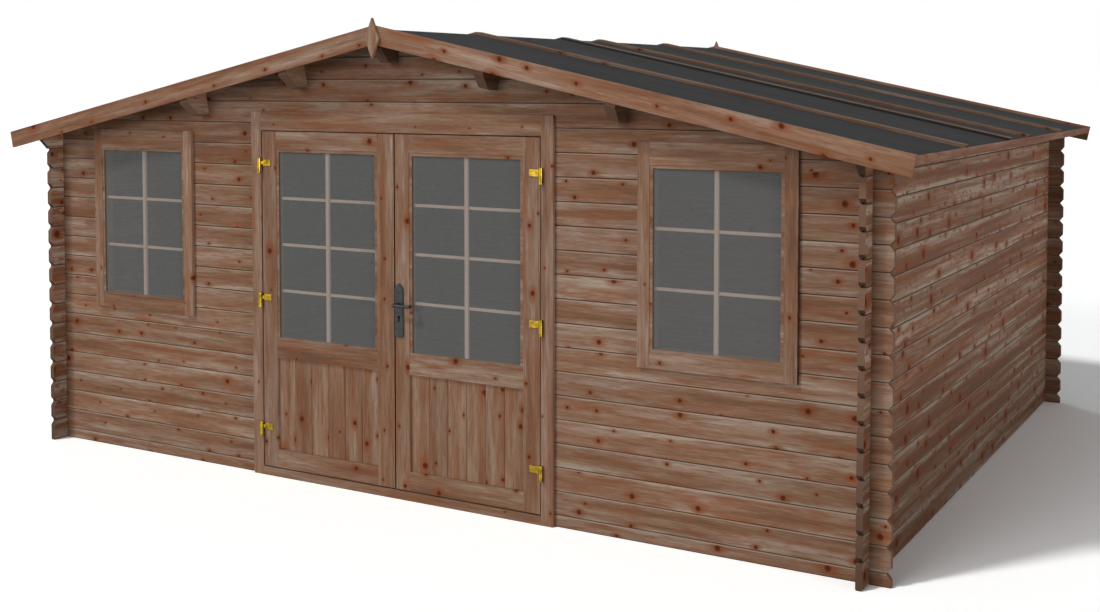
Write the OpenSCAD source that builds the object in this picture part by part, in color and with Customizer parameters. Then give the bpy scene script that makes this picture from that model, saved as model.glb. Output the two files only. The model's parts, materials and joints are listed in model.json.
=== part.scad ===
// Log cabin garden shed: interlocking log walls, a low felted gable roof,
// a glazed double door that opens outwards and two windows.
// X runs along the front, Y towards the rear, Z up. Origin: middle of the footprint at ground level.

/* [Walls] */
// Width over the outer faces of the side walls
wall_w = 5000; // [4600:10:5600]
// Depth over the outer faces of the front and rear walls
wall_d = 3975; // [3400:5:4800]
// Height of one log course
log_h = 117; // [105:1:130]
// Thickness of the logs
log_t = 30; // [26:1:44]
// Number of side wall courses up to the eaves
courses = 16; // [15:1:18]
// How far the crossing logs stick out past the corners
corner_over = 95; // [70:1:120]
// Length of the chamfer on a projecting log end
end_chamfer_len = 21; // [10:1:30]
// Height of the chamfer on a projecting log end
end_chamfer_h = 25; // [10:1:28]
// Depth of the V groove edge at each log joint
groove_d = 4; // [2:0.5:7]
// Height of the V groove edge at each log joint
groove_h = 5; // [2:0.5:8]
// Width of the tongue on top of each log
tongue_w = 11; // [6:0.5:14]
// Height of the tongue on top of each log
tongue_h = 8; // [4:0.5:10]
// Tongue stopped short of the chamfered log ends
tongue_stop = 16; // [6:1:30]

/* [Roof] */
// Pitch of both slopes in degrees
roof_pitch = 12; // [10:0.5:15]
// Thickness of the roof boards
deck_t = 18; // [14:1:24]
// Thickness of the roofing felt
felt_t = 3; // [2:0.5:5]
// Roof boards past the front and rear walls
gable_over = 152; // [120:1:220]
// Roof boards past the side walls, measured level
eave_over = 206; // [150:1:280]
// Width of the purlins
purlin_w = 58; // [44:1:70]
// Depth of the purlins below the roof boards
purlin_h = 147; // [120:1:170]
// Upper purlin, from the ridge down the slope
upper_purlin = 640; // [560:5:720]
// Lower purlin, from the ridge down the slope
lower_purlin = 1367; // [1250:1:1500]
// Slanted undercut on the purlin ends
purlin_cut = 72; // [40:1:100]
// Thickness of the bargeboards
barge_t = 18; // [14:1:25]
// Depth of the bargeboards
barge_h = 95; // [80:1:120]
// Bargeboard standing above the felt
barge_proud = 17; // [16:0.5:30]
// Thickness of the eave fascia
fascia_t = 16; // [12:1:22]
// Depth of the eave fascia
fascia_h = 35; // [32:1:60]
// Fascia standing above the felt
fascia_proud = 8; // [0:0.5:12]
// Width of the roof battens
batten_w = 65; // [40:1:100]
// Thickness of the roof battens
batten_t = 15; // [10:0.5:15.5]
// Batten ends short of the fascia
batten_stop = 12; // [5:1:40]
// First batten, from the front edge of the roof boards
front_batten = 950; // [700:5:1100]
// Distance between the two middle battens
middle_battens = 478; // [300:1:600]
// Middle battens set towards the rear
middle_shift = 28; // [0:1:60]
// Last batten, from the rear edge of the roof boards
rear_batten = 890; // [700:5:1100]
// Height of the diamond finials
finial_h = 205; // [150:1:260]
// Width of the diamond finials
finial_w = 86; // [60:1:120]
// Thickness of the diamond finials
finial_t = 16; // [10:1:24]
// Finial tip above the meeting point of the bargeboards
finial_rise = 37; // [20:1:60]

/* [Door] */
// Width over the door casing
door_w = 1900; // [1700:10:2000]
// Top of the door casing above the eaves
door_rise = 121; // [60:1:140]
// Casing width beside the door leaves
jamb_w = 66; // [55:1:90]
// Casing depth above the door leaves
head_h = 101; // [70:1:130]
// Height of the threshold
threshold_h = 46; // [40:1:70]
// Frame standing in front of and behind the logs
frame_proud = 20; // [12:1:23]
// How deep the frames clasp the log ends
clasp = 30; // [20:1:40]
// Stop behind the door leaves
stop_w = 16; // [10:1:25]
// Running gap round each leaf
leaf_gap = 6; // [5:0.5:8]
// Gap between the two leaves
meeting_gap = 9; // [8:0.5:12]
// Meeting line to the right of the middle
meeting_x = 10; // [0:1:20]
// Thickness of the door leaves
leaf_t = 40; // [36:1:44]
// Leaf face behind the front of the casing
leaf_set = 4; // [2:0.5:6]
// Width of the outer stiles
stile_w = 97; // [80:1:110]
// Distance of the inner panel edges from the middle
inner_stile_x = 101; // [85:1:120]
// Height of the top rail
top_rail_h = 93; // [80:1:110]
// Height of the lock rail
lock_rail_h = 96; // [80:1:110]
// Height of the bottom rail
bottom_rail_h = 99; // [80:1:120]
// Height of the lower panel
panel_h = 504; // [450:1:560]
// Thickness of the lower panel
panel_t = 16; // [12:1:20]
// Lower panel behind the leaf face
panel_set = 13; // [8:1:18]
// Width of the glazing beads on the door
door_bead = 17; // [12:1:24]
// Thickness of the glass
glass_t = 4; // [3:0.5:6]
// Glass behind the face of the leaf or the window casing
glass_set = 9; // [7:0.5:14]
// Glazing beads behind the face that they are set in
bead_set = 3; // [1:0.5:5]

/* [Hardware] */
// Radius of the hinge barrels
hinge_r = 10; // [8:0.5:11]
// Hinge barrels in front of the casing
hinge_stand = 1; // [0.5:0.5:3]
// Height of one hinge knuckle
knuckle_h = 40; // [32:1:50]
// Length of the leaf strap of a hinge
strap_len = 70; // [50:1:90]
// Height of the leaf strap of a hinge
strap_h = 34; // [26:1:38]
// Thickness of the hinge straps
strap_t = 4; // [3:0.5:5]
// Leaf strap below the middle of its hinge
strap_drop = 3; // [0:0.5:6]
// Height of the neck between a barrel and what it is fixed to
neck_h = 18; // [12:1:26]
// Middle of the lowest hinge above the ground
hinge_low = 257; // [220:1:320]
// Middle of the centre hinge above the ground
hinge_mid = 967; // [900:1:1050]
// Middle of the top hinge above the ground
hinge_top = 1701; // [1600:1:1760]
// Height of the spindle above the ground
spindle_z = 1013; // [960:1:1060]
// Radius of the spindle
spindle_r = 4; // [3:0.5:5]
// Width of the lock plates
plate_w = 50; // [40:1:56]
// Height of the lock plates
plate_h = 278; // [220:1:300]
// Thickness of the lock plates
plate_t = 8; // [5:0.5:10]
// Top of the lock plates above the spindle
plate_rise = 108; // [80:1:130]
// Height of the pointed head of the lock plates
plate_point = 36; // [28:1:50]
// Radius of the lower corners of the lock plates
plate_corner = 14; // [8:1:20]
// Keyhole below the spindle
keyhole_drop = 66; // [55:1:80]
// Radius of the round part of the keyhole
keyhole_r = 8.5; // [6:0.5:9]
// Width of the slot under the round part of the keyhole
keyhole_slot = 10; // [6:0.5:11]
// Height of the whole keyhole
keyhole_h = 33; // [24:1:36]
// Length of the lever from the spindle
lever_len = 92; // [80:1:120]
// Radius of the lever bar
lever_r = 8; // [6:0.5:10]
// Radius of the lever hub
hub_r = 11; // [9:0.5:14]
// Lever bar in front of the leaf
lever_reach = 52; // [44:1:60]
// Length of the lever's end that turns back to the leaf
lever_return = 20; // [10:1:25]

/* [Windows] */
// Window middle, from the outer face of the side wall
window_inset = 711; // [640:1:780]
// Width over the window casing
window_w = 778; // [650:1:820]
// Height over the window casing
window_h = 1048; // [900:1:1100]
// Top of the window casing above the eaves
window_rise = 6; // [-60:1:10]
// Casing width of the window stiles
window_stile = 62; // [50:1:80]
// Casing depth of the window head
window_head = 106; // [70:1:120]
// Casing depth of the window sill
window_sill = 74; // [60:1:100]
// Width of the glazing beads on the windows
window_bead = 16; // [12:1:28]

/* [Floor] */
// Thickness of the floor boards
floor_t = 18; // [14:1:22]
// Width of a floor bearer
bearer_w = 45; // [35:1:60]
// Number of floor bearers
bearers = 9; // [7:1:12]
// Gap between the floor and the walls
floor_gap = 6; // [3:1:12]

/* [Hidden] */
$fn = 48;

// Clearance between pieces that seat on each other
fit = 0.3;
// Reach of a cutting shape past the piece it cuts
past = 50;
// Overlap of two shapes that are joined into one piece
lap = 1;
// Lock plate's edge to the edge of its leaf
plate_edge = 1;
// Room round the spindle in its bore
spindle_room = 1;

half_w = wall_w / 2;
half_d = wall_d / 2;
front_y = -half_d;
eave_z = courses * log_h;
slope = tan(roof_pitch);
// Underside of the roof boards at the ridge
apex_z = eave_z + (half_w - log_t) * slope;
deck_y = half_d + gable_over;
deck_len = (half_w + eave_over) / cos(roof_pitch);
felt_n = deck_t + felt_t;
barge_top_n = felt_n + barge_proud;
front_courses = ceil(apex_z / log_h + 0.5);

door_top = eave_z + door_rise;
door_cut_x = door_w / 2 - clasp;
door_cut_z = door_top - clasp;
jamb_x = door_w / 2 - jamb_w;
frame_front = front_y - frame_proud;
frame_back = front_y + log_t + frame_proud;
leaf_front = frame_front + leaf_set;
leaf_back = leaf_front + leaf_t;
leaf_low = threshold_h + leaf_gap;
leaf_top = door_top - head_h - leaf_gap;
leaf_x = jamb_x - leaf_gap;
stop_y = leaf_back + leaf_gap;
left_edge = meeting_x - meeting_gap / 2;
right_edge = meeting_x + meeting_gap / 2;
panel_low = leaf_low + bottom_rail_h;
panel_top = panel_low + panel_h;
glazed_low = panel_top + lock_rail_h;
glazed_top = leaf_top - top_rail_h;
panel_side = leaf_x - stile_w;
hinge_heights = [hinge_low, hinge_mid, hinge_top];
hinge_x = jamb_x + leaf_set;
hinge_y = frame_front - hinge_r - hinge_stand;
// Lock plates stand wholly on the right leaf
lock_x = right_edge + plate_edge + plate_w / 2;

window_x = half_w - window_inset;
window_top = eave_z + window_rise;
window_low = window_top - window_h;
window_cut_x = window_w / 2 - clasp;
window_in_x = window_w / 2 - window_stile;
window_in_low = window_low + window_sill;
window_in_top = window_top - window_head;
window_glass_y = frame_front + glass_set;

wood = [0.55, 0.42, 0.34];
pale_wood = [0.62, 0.5, 0.42];
felt_grey = [0.25, 0.25, 0.26];
glass_grey = [0.4, 0.42, 0.44, 0.5];
brass = [0.78, 0.63, 0.2];
black = [0.2, 0.2, 0.22];

// Section in XZ drawn along Y
module along_y(y0, y1) {
    translate([0, y1, 0]) rotate([90, 0, 0]) linear_extrude(y1 - y0) children();
}

// Section in YZ drawn along X
module along_x(x0, x1) {
    translate([x0, 0, 0]) rotate([90, 0, 90]) linear_extrude(x1 - x0) children();
}

module box(low, high) {
    translate(low) cube(high - low);
}

module mirrored(side) {
    if (side < 0) mirror([1, 0, 0]) children();
    else children();
}

// Section of one log: V-grooved edges, a tongue on top and a groove below
module log_section(z0, z1) {
    low = z0 + (z0 > 0 ? fit / 2 : 0);
    high = z1 - fit / 2;
    mid = log_t / 2;
    difference() {
        union() {
            polygon([
                [groove_d, low], [0, low + groove_h], [0, high - groove_h], [groove_d, high],
                [log_t - groove_d, high], [log_t, high - groove_h], [log_t, low + groove_h],
                [log_t - groove_d, low]
            ]);
            translate([mid - tongue_w / 2, high - lap]) square([tongue_w, tongue_h + lap]);
        }
        if (z0 > 0)
            translate([mid - tongue_w / 2 - fit, low - lap]) square([tongue_w + 2 * fit, tongue_h + 2 * lap]);
    }
}

// Side view of one log with chamfered ends and a tongue that stops short of them
module log_profile(reach, z0, z1) {
    lift = z0 > 0 ? end_chamfer_h : 0;
    set_in = z0 > 0 ? end_chamfer_len : 0;
    flat = reach - end_chamfer_len;
    tongue_end = flat - tongue_stop;
    polygon([
        [set_in - reach, z0], [-reach, z0 + lift], [-reach, z1 - end_chamfer_h], [-flat, z1],
        [-tongue_end, z1], [-tongue_end, z1 + tongue_h], [tongue_end, z1 + tongue_h], [tongue_end, z1],
        [flat, z1], [reach, z1 - end_chamfer_h], [reach, z0 + lift], [reach - set_in, z0]
    ]);
}

// Notches above and below the half-lapped core where two logs cross
module lap_notches(u, z0, z1) {
    full0 = z1 - log_h;
    core0 = full0 + log_h / 4;
    core1 = z1 - log_h / 4;
    for (side = [-1, 1]) {
        near = side < 0 ? -u : u - log_t;
        translate([near - fit / 2, full0 - past]) square([log_t + fit, core0 + past - full0 + fit / 4]);
        translate([near - fit / 2, core1 - fit / 4]) square([log_t + fit, past + z1 - core1]);
    }
}

// Log running along X in a gable wall, with one face at y = 0
module gable_log(z0, z1) {
    reach = half_w + corner_over;
    intersection() {
        along_x(-reach, reach) log_section(z0, z1);
        along_y(-lap, log_t + lap) difference() {
            log_profile(reach, z0, z1);
            lap_notches(half_w, z0, z1);
        }
    }
}

function course_low(i) = max(0, (i - 0.5) * log_h);
function course_high(i) = (i + 0.5) * log_h;

// Everything under the roof boards, in XZ
module under_roof() {
    wide = half_w + corner_over + past;
    polygon([
        [-wide, -past], [wide, -past], [wide, apex_z - wide * slope - fit],
        [0, apex_z - fit], [-wide, apex_z - wide * slope - fit]
    ]);
}

// Point down the slope from the ridge and along its normal, in XZ
function slope_point(down, out) = [
    down * cos(roof_pitch) + out * sin(roof_pitch),
    apex_z - down * sin(roof_pitch) + out * cos(roof_pitch)
];

// Point on the mitre over the ridge, along the normal of the slope, in XZ
function ridge_point(out) = [fit / 2, apex_z + out / cos(roof_pitch) - slope * fit / 2];

// Layer on the right slope between two distances from the roof boards' underside
module slope_layer(down, out0, out1) {
    polygon([ridge_point(out0), slope_point(down, out0), slope_point(down, out1), ridge_point(out1)]);
}

module purlin_section(down, grow) {
    polygon([
        slope_point(down - purlin_w / 2 - grow, -fit), slope_point(down + purlin_w / 2 + grow, -fit),
        slope_point(down + purlin_w / 2 + grow, -purlin_h - grow),
        slope_point(down - purlin_w / 2 - grow, -purlin_h - grow)
    ]);
}

module ridge_section(grow) {
    side = purlin_w / 2 + grow;
    top = apex_z - fit;
    polygon([
        [0, top], [side, top - side * slope], [side, apex_z - purlin_h - grow],
        [-side, apex_z - purlin_h - grow], [-side, top - side * slope]
    ]);
}

// Room that the purlins take in the gables
module purlin_seats() {
    ridge_section(fit);
    for (side = [-1, 1])
        mirrored(side)
            for (down = [upper_purlin, lower_purlin]) {
                purlin_section(down, fit);
                // Sliver of log between the purlin's top and the roof boards
                translate(slope_point(down, 0) - [purlin_w / 2, purlin_w / 4])
                    square([purlin_w, purlin_w]);
            }
}

// Gable wall logs from one course to another, cut by the roof and the purlins
module gable_logs(first, last) {
    for (i = [first : last])
        intersection() {
            gable_log(course_low(i), course_high(i));
            along_y(-past, log_t + past) difference() {
                under_roof();
                purlin_seats();
            }
        }
}

// Openings cut through the front wall for the door and the windows
module front_openings() {
    translate([-door_cut_x, -past]) square([2 * door_cut_x, door_cut_z + past]);
    for (side = [-1, 1])
        translate([side * window_x - window_cut_x, window_low + clasp])
            square([2 * window_cut_x, window_h - 2 * clasp]);
}

// First front course that passes over the door in one length
over_door = ceil(door_cut_z / log_h + 0.5) - 1;

module front_logs(first, last) {
    translate([0, front_y, 0]) difference() {
        gable_logs(first, last);
        along_y(-past, log_t + past) front_openings();
    }
}

module front_wall_side(side) {
    reach = half_w + corner_over + past;
    intersection() {
        front_logs(0, over_door - 1);
        mirrored(side) box([0, front_y - past, -past], [reach, front_y + past, apex_z]);
    }
}

module front_wall_left() { color(wood) front_wall_side(-1); }
module front_wall_right() { color(wood) front_wall_side(1); }
module front_gable() { color(wood) front_logs(over_door, front_courses); }
module rear_wall() { color(wood) translate([0, half_d - log_t, 0]) gable_logs(0, front_courses); }

// Side wall: full courses from the ground, the top one running out under the bargeboards
module side_wall(side) {
    reach = half_d + corner_over;
    mirrored(side) translate([half_w - log_t, 0, 0]) for (i = [1 : courses]) {
        z0 = (i - 1) * log_h;
        top = i == courses;
        end = top ? deck_y - fit : reach;
        intersection() {
            translate([0, -end, 0]) rotate([0, 0, 90]) mirror([0, 1, 0])
                along_x(0, 2 * end) log_section(z0, i * log_h);
            along_x(-lap, log_t + lap) difference() {
                if (top) eave_profile(end, z0, reach);
                else log_profile(reach, z0, i * log_h);
                lap_notches(half_d, z0, i * log_h);
            }
            translate([log_t - half_w, 0, 0]) along_y(-end - past, end + past) under_roof();
        }
    }
}

// Side view of the eave log: slanted undercut ends
module eave_profile(end, z0, reach) {
    rise = end - reach;
    polygon([
        [-reach, z0], [-end, z0 + rise], [-end, z0 + 2 * log_h], [end, z0 + 2 * log_h],
        [end, z0 + rise], [reach, z0]
    ]);
}

module left_wall() { color(wood) side_wall(-1); }
module right_wall() { color(wood) side_wall(1); }

// Side view of a purlin: undercut at both ends
module purlin_profile(low) {
    end = deck_y - fit;
    polygon([
        [-end + purlin_cut, low], [-end, low + purlin_cut], [-end, apex_z], [end, apex_z],
        [end, low + purlin_cut], [end - purlin_cut, low]
    ]);
}

module ridge_purlin() {
    color(wood) intersection() {
        along_y(-deck_y, deck_y) ridge_section(0);
        along_x(-purlin_w, purlin_w) purlin_profile(apex_z - purlin_h);
    }
}

// Purlins of one slope, square to the roof boards
module purlins(side) {
    color(wood) mirrored(side) for (down = [upper_purlin, lower_purlin])
        intersection() {
            along_y(-deck_y, deck_y) purlin_section(down, 0);
            translate([0, 0, apex_z]) rotate([0, roof_pitch, 0]) translate([0, 0, -apex_z])
                along_x(down - purlin_w, down + purlin_w) purlin_profile(apex_z - purlin_h);
        }
}

module left_purlins() { purlins(-1); }
module right_purlins() { purlins(1); }

module roof_boards(side) {
    color(pale_wood) mirrored(side) along_y(-deck_y, deck_y) slope_layer(deck_len, 0, deck_t);
}

module left_roof_boards() { roof_boards(-1); }
module right_roof_boards() { roof_boards(1); }

module felt(side) {
    color(felt_grey) mirrored(side) along_y(-deck_y, deck_y)
        slope_layer(deck_len, deck_t + fit, felt_n);
}

module left_felt() { felt(-1); }
module right_felt() { felt(1); }

batten_places = [
    front_batten - deck_y, middle_shift - middle_battens / 2,
    middle_shift + middle_battens / 2, deck_y - rear_batten
];

module battens(side) {
    color(pale_wood) mirrored(side) for (y = batten_places)
        along_y(y - batten_w / 2, y + batten_w / 2)
            slope_layer(deck_len - batten_stop, felt_n + fit, felt_n + batten_t);
}

module left_battens() { battens(-1); }
module right_battens() { battens(1); }

module eave_fascias() {
    top = felt_n + fascia_proud;
    color(wood) for (side = [-1, 1]) mirrored(side) along_y(-deck_y, deck_y) polygon([
        slope_point(deck_len + fit, top - fascia_h), slope_point(deck_len + fascia_t, top - fascia_h),
        slope_point(deck_len + fascia_t, top), slope_point(deck_len + fit, top)
    ]);
}

module bargeboards(y0, y1) {
    color(pale_wood) for (side = [-1, 1])
        mirrored(side) along_y(y0, y1)
            slope_layer(deck_len + fascia_t, barge_top_n - barge_h, barge_top_n);
}

module front_bargeboards() { bargeboards(-deck_y - fit - barge_t, -deck_y - fit); }
module rear_bargeboards() { bargeboards(deck_y + fit, deck_y + fit + barge_t); }

module finial(y0, y1) {
    top = apex_z + barge_top_n / cos(roof_pitch) + finial_rise;
    color(pale_wood) along_y(y0, y1) polygon([
        [0, top], [finial_w / 2, top - finial_h / 2], [0, top - finial_h], [-finial_w / 2, top - finial_h / 2]
    ]);
}

finial_y = deck_y + barge_t + 2 * fit;
module front_finial() { finial(-finial_y - finial_t, -finial_y); }
module rear_finial() { finial(finial_y, finial_y + finial_t); }

floor_x = half_w - log_t - floor_gap;
floor_y = half_d - log_t - frame_proud - floor_gap;

module floor_boards() {
    color(pale_wood)
        box([-floor_x, -floor_y, threshold_h - floor_t], [floor_x, floor_y, threshold_h]);
}

module floor_bearers() {
    step = (2 * floor_x - bearer_w) / (bearers - 1);
    start = frame_back + fit;
    color(wood) for (i = [0 : bearers - 1])
        translate([-floor_x + i * step, start, 0])
            cube([bearer_w, half_d - log_t - fit - start, threshold_h - floor_t - fit]);
}

// Jambs: flanges that clasp the log ends in front and behind
module door_jambs() {
    color(wood) for (side = [-1, 1]) mirrored(side) {
        box([jamb_x, frame_front, 0], [door_w / 2, front_y - fit, door_top]);
        box([jamb_x, front_y - lap, 0], [door_cut_x - fit, frame_back - lap, door_cut_z - fit]);
        box([jamb_x, front_y + log_t + fit, 0], [door_w / 2, frame_back, door_top]);
    }
}

// Strips on the threshold, inside the jambs and the head, that the leaves close towards
module door_stops() {
    top = door_top - head_h - fit;
    color(pale_wood) {
        for (side = [-1, 1]) mirrored(side)
            box([jamb_x - stop_w, stop_y, threshold_h + fit], [jamb_x - fit, frame_back, top]);
        box([stop_w + fit - jamb_x, stop_y, top - stop_w], [jamb_x - stop_w - fit, frame_back, top]);
    }
}

module door_head() {
    low = door_top - head_h;
    reach = jamb_x - fit;
    color(wood) {
        box([-reach, frame_front, low], [reach, front_y - fit, door_top]);
        box([-reach, front_y - lap, low], [reach, frame_back - lap, door_cut_z - fit]);
        box([-reach, front_y + log_t + fit, low], [reach, frame_back, door_top]);
    }
}

module threshold() {
    reach = jamb_x - fit;
    color(wood) box([-reach, frame_front, 0], [reach, frame_back, threshold_h]);
}

// Hinge halves on the casing: lower knuckle on a boss
module frame_hinges() {
    color(brass) for (side = [-1, 1], z = hinge_heights)
        mirrored(side) translate([0, 0, z - knuckle_h]) {
            translate([hinge_x, hinge_y, 0]) cylinder(h = knuckle_h - fit, r = hinge_r);
            translate([0, 0, (knuckle_h - neck_h) / 2])
                box([jamb_x + fit, hinge_y, 0], [hinge_x + hinge_r, frame_front - fit, neck_h]);
        }
}

// Hinge halves on a leaf: upper knuckle, a joggled neck and a strap on the leaf's face
module leaf_hinges(side) {
    tail = hinge_x - strap_len;
    face = leaf_front - fit;
    clear = frame_front - hinge_stand - fit;
    neck_x = leaf_x - 2 * strap_t;
    color(brass) mirrored(side) for (z = hinge_heights) translate([0, 0, z]) {
        translate([hinge_x, hinge_y, 0]) cylinder(h = knuckle_h, r = hinge_r);
        translate([0, 0, -strap_drop])
            box([tail, face - strap_t, 0], [neck_x, face, strap_h]);
        translate([0, 0, strap_h / 2 - strap_drop - neck_h / 2]) linear_extrude(neck_h) polygon([
            [neck_x - lap, face], [leaf_x - fit, face], [leaf_x + fit, clear], [hinge_x, clear],
            [hinge_x, clear - strap_t], [leaf_x - strap_t, clear - strap_t],
            [neck_x, face - strap_t], [neck_x - lap, face - strap_t]
        ]);
    }
}

module left_leaf_hinges() { leaf_hinges(-1); }
module right_leaf_hinges() { leaf_hinges(1); }

// Stiles and rails of a leaf between its outer edge and the meeting edge at edge_x
module leaf_frame(edge_x) {
    color(wood) {
        box([panel_side, leaf_front, leaf_low], [leaf_x, leaf_back, leaf_top]);
        box([edge_x, leaf_front, leaf_low], [inner_stile_x, leaf_back, leaf_top]);
        for (z = [[leaf_low, panel_low], [panel_top, glazed_low], [glazed_top, leaf_top]])
            box([inner_stile_x + fit, leaf_front, z[0]], [panel_side - fit, leaf_back, z[1]]);
    }
}

module spindle_bore() {
    translate([lock_x, leaf_front - past, spindle_z]) rotate([-90, 0, 0])
        cylinder(h = leaf_t + 2 * past, r = spindle_r + spindle_room);
}

module left_leaf_frame() { mirror([1, 0, 0]) leaf_frame(-left_edge); }
module right_leaf_frame() {
    difference() {
        leaf_frame(right_edge);
        spindle_bore();
    }
}

leaf_glass_y = leaf_front + glass_set;

// Rectangle of beads in XZ, bead wide, inside the given opening
module bead_ring(x0, x1, z0, z1, bead) {
    difference() {
        translate([x0, z0]) square([x1 - x0, z1 - z0]);
        translate([x0 + bead, z0 + bead]) square([x1 - x0 - 2 * bead, z1 - z0 - 2 * bead]);
    }
}

module leaf_beads(side) {
    back = leaf_back - bead_set;
    color(pale_wood) mirrored(side) for (y = [[leaf_front + bead_set, leaf_glass_y - fit],
                                              [leaf_glass_y + glass_t + fit, back]])
        along_y(y[0], y[1])
            bead_ring(inner_stile_x + fit, panel_side - fit, glazed_low + fit, glazed_top - fit, door_bead);
}

module left_leaf_beads() { leaf_beads(-1); }
module right_leaf_beads() { leaf_beads(1); }

module leaf_glass(side) {
    edge = fit * 2;
    color(glass_grey) mirrored(side) box(
        [inner_stile_x + edge, leaf_glass_y, glazed_low + edge],
        [panel_side - edge, leaf_glass_y + glass_t, glazed_top - edge]
    );
}

module left_leaf_glass() { leaf_glass(-1); }
module right_leaf_glass() { leaf_glass(1); }

module leaf_panel(side) {
    face = leaf_front + panel_set;
    color(wood) mirrored(side) box(
        [inner_stile_x + fit, face, panel_low + fit], [panel_side - fit, face + panel_t, panel_top - fit]
    );
}

module left_leaf_panel() { leaf_panel(-1); }
module right_leaf_panel() { leaf_panel(1); }

// Keyhole in XZ: a round with a slot under it
module keyhole() {
    circle(keyhole_r);
    translate([-keyhole_slot / 2, keyhole_r - keyhole_h]) square([keyhole_slot, keyhole_h - keyhole_r]);
}

// Lock plate outline in XZ: a pointed head on two arcs, and round lower corners
module plate_outline() {
    half = plate_w / 2;
    arc_r = (half * half + plate_point * plate_point) / plate_w;
    shoulder = plate_rise - plate_point;
    low = plate_rise - plate_h;
    translate([lock_x, spindle_z]) difference() {
        union() {
            intersection() {
                translate([half - arc_r, shoulder]) circle(arc_r);
                translate([arc_r - half, shoulder]) circle(arc_r);
                translate([-half, shoulder - lap]) square([plate_w, plate_point + lap]);
            }
            translate([-half, low + plate_corner]) square([plate_w, shoulder - low - plate_corner]);
            translate([plate_corner - half, low]) square([plate_w - 2 * plate_corner, plate_corner + lap]);
            for (side = [-1, 1])
                translate([side * (half - plate_corner), low + plate_corner]) circle(plate_corner);
        }
        circle(spindle_r + spindle_room);
        translate([0, -keyhole_drop]) keyhole();
    }
}

module lock_plates() {
    color(black) {
        along_y(leaf_front - fit - plate_t, leaf_front - fit) plate_outline();
        along_y(leaf_back + fit, leaf_back + fit + plate_t) plate_outline();
    }
}

// One handle in front of y = 0: a hub on the spindle and a bar that turns back at its end
module handle() {
    gap = plate_t + 2 * fit;
    rotate([90, 0, 0]) translate([0, 0, gap]) cylinder(h = lever_reach - gap, r = hub_r);
    translate([0, -lever_reach, 0]) {
        sphere(hub_r);
        rotate([0, 90, 0]) cylinder(h = lever_len, r = lever_r);
        translate([lever_len, 0, 0]) {
            sphere(lever_r);
            rotate([-90, 0, 0]) cylinder(h = lever_return, r = lever_r);
            translate([0, lever_return, 0]) sphere(lever_r);
        }
    }
}

// Spindle with an outside and an inside handle
module lever() {
    color(black) translate([lock_x, 0, spindle_z]) {
        translate([0, leaf_front - lever_reach, 0]) rotate([-90, 0, 0])
            cylinder(h = leaf_t + 2 * lever_reach, r = spindle_r);
        translate([0, leaf_front, 0]) handle();
        translate([0, leaf_back, 0]) mirror([0, 1, 0]) handle();
    }
}

// Window frame: full-height stiles with head and sill between, clasping the logs
module window_frame(side) {
    wide = window_w / 2;
    cut_low = window_low + clasp + fit;
    cut_top = window_top - clasp - fit;
    cut_x = window_cut_x - fit;
    in_x = window_in_x;
    color(wood) mirrored(side) translate([window_x, 0, 0]) {
        for (turn = [-1, 1]) mirrored(turn)
            frame_bar([in_x, wide], [in_x, cut_x], [window_low, window_top], [cut_low, cut_top]);
        reach = [-in_x + fit, in_x - fit];
        frame_bar(reach, reach, [window_in_top, window_top], [window_in_top, cut_top]);
        frame_bar(reach, reach, [window_low, window_in_low], [cut_low, window_in_low]);
    }
}

// Bar with a flange in front of the logs, a web between and a flange behind
module frame_bar(flange_x, web_x, flange_z, web_z) {
    box([flange_x[0], frame_front, flange_z[0]], [flange_x[1], front_y - fit, flange_z[1]]);
    box([web_x[0], front_y - lap, web_z[0]], [web_x[1], frame_back - lap, web_z[1]]);
    box([flange_x[0], front_y + log_t + fit, flange_z[0]], [flange_x[1], frame_back, flange_z[1]]);
}

module window_beads(side) {
    front = frame_front + bead_set;
    back = frame_back - bead_set;
    inner = window_in_x - fit;
    color(pale_wood) mirrored(side) translate([window_x, 0, 0])
        for (y = [[front, window_glass_y - fit], [window_glass_y + glass_t + fit, back]])
            along_y(y[0], y[1])
                bead_ring(-inner, inner, window_in_low + fit, window_in_top - fit, window_bead);
}

module window_glass(side) {
    edge = 2 * fit;
    color(glass_grey) mirrored(side) translate([window_x, 0, 0]) box(
        [-window_in_x + edge, window_glass_y, window_in_low + edge],
        [window_in_x - edge, window_glass_y + glass_t, window_in_top - edge]
    );
}

module left_window_frame() { window_frame(-1); }
module right_window_frame() { window_frame(1); }
module left_window_beads() { window_beads(-1); }
module right_window_beads() { window_beads(1); }
module left_window_glass() { window_glass(-1); }
module right_window_glass() { window_glass(1); }

left_wall();
right_wall();
rear_wall();
front_wall_left();
front_wall_right();
front_gable();
ridge_purlin();
left_purlins();
right_purlins();
left_roof_boards();
right_roof_boards();
left_felt();
right_felt();
left_battens();
right_battens();
eave_fascias();
front_bargeboards();
rear_bargeboards();
front_finial();
rear_finial();
floor_boards();
floor_bearers();
door_jambs();
door_head();
door_stops();
threshold();
frame_hinges();
left_leaf_frame();
left_leaf_beads();
left_leaf_glass();
left_leaf_panel();
left_leaf_hinges();
right_leaf_frame();
right_leaf_beads();
right_leaf_glass();
right_leaf_panel();
right_leaf_hinges();
lock_plates();
lever();
left_window_frame();
left_window_beads();
left_window_glass();
right_window_frame();
right_window_beads();
right_window_glass();
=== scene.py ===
"""Looks of the log cabin garden shed: stained pine, felt, glass, brass and black iron on the frame."""

import json
import math

import bmesh
import bpy
from mathutils import Matrix, Vector


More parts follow.
